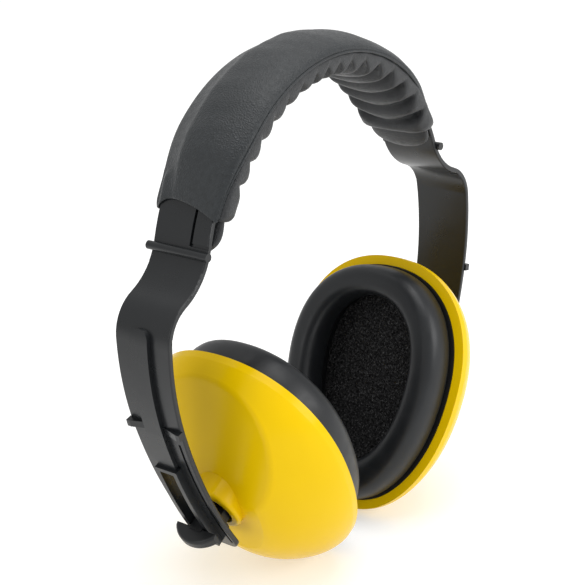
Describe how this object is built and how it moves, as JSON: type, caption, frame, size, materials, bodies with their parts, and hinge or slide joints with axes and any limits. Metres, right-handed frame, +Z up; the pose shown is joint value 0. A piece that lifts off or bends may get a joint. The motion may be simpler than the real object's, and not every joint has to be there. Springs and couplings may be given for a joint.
{
  "type": "earmuff hearing protector",
  "caption": "Over-the-head earmuff with a sprung plastic headband in a padded sleeve and two oval ear cups with soft cushions on sliding, pivoting mounts.",
  "frame": {"origin": "middle of the surface that the two cups stand on, below the crown of the headband", "axes": "+X towards the right ear, -Y towards the wearer's front, +Z up to the crown of the headband"},
  "size_m": [0.1822, 0.0794, 0.1932],
  "materials": {
    "strip_plastic": "near-black satin moulding",
    "sleeve_leatherette": "dark grey fine-grained leatherette",
    "cushion_core": "open-cell foam",
    "fitting_plastic": "near-black satin moulding",
    "cup_plastic": "glossy deep yellow moulding",
    "liner_foam": "black open-cell foam",
    "cushion_vinyl": "smooth satin black vinyl"
  },
  "bodies": {
    "headband": {"headband_strip": "strip_plastic", "headband_cover": "sleeve_leatherette", "headband_pad": "sleeve_leatherette", "headband_foam": "cushion_core"},
    "right_slider": {"right_slider_knob": "fitting_plastic", "right_slider_block": "fitting_plastic"},
    "right_pivot": {"right_pivot_cross": "fitting_plastic"},
    "right_cup": {"right_cup_shell": "cup_plastic", "right_pivot_socket": "fitting_plastic", "right_acoustic_foam": "liner_foam", "right_foam_sheet": "liner_foam", "right_cushion_plate": "fitting_plastic", "right_cushion_foam": "cushion_core", "right_cushion_skin": "cushion_vinyl"},
    "left_slider": {"left_slider_knob": "fitting_plastic", "left_slider_block": "fitting_plastic"},
    "left_pivot": {"left_pivot_cross": "fitting_plastic"},
    "left_cup": {"left_cup_shell": "cup_plastic", "left_pivot_socket": "fitting_plastic", "left_acoustic_foam": "liner_foam", "left_foam_sheet": "liner_foam", "left_cushion_plate": "fitting_plastic", "left_cushion_foam": "cushion_core", "left_cushion_skin": "cushion_vinyl"}
  },
  "joints": [
    {"name": "right_slide", "type": "hinge", "parent": "headband", "child": "right_slider", "pos_m": [-0.09013, 0, 0.12416], "axis": [0, -1, 0], "range_deg": [-1, 8.5]},
    {"name": "right_tilt", "type": "hinge", "parent": "right_slider", "child": "right_pivot", "pos_m": [0.06139, 0, 0.03861], "axis": [0, 1, 0], "range_deg": [-10, 3]},
    {"name": "right_swivel", "type": "hinge", "parent": "right_pivot", "child": "right_cup", "pos_m": [0.06139, 0, 0.03861], "axis": [0.4917, 0, 0.8708], "range_deg": [-8, 8]},
    {"name": "left_slide", "type": "hinge", "parent": "headband", "child": "left_slider", "pos_m": [0.09013, 0, 0.12416], "axis": [0, 1, 0], "range_deg": [-1, 8.5]},
    {"name": "left_tilt", "type": "hinge", "parent": "left_slider", "child": "left_pivot", "pos_m": [-0.06139, 0, 0.03861], "axis": [0, -1, 0], "range_deg": [-10, 3]},
    {"name": "left_swivel", "type": "hinge", "parent": "left_pivot", "child": "left_cup", "pos_m": [-0.06139, 0, 0.03861], "axis": [-0.4917, 0, 0.8708], "range_deg": [-8, 8]}
  ]
}
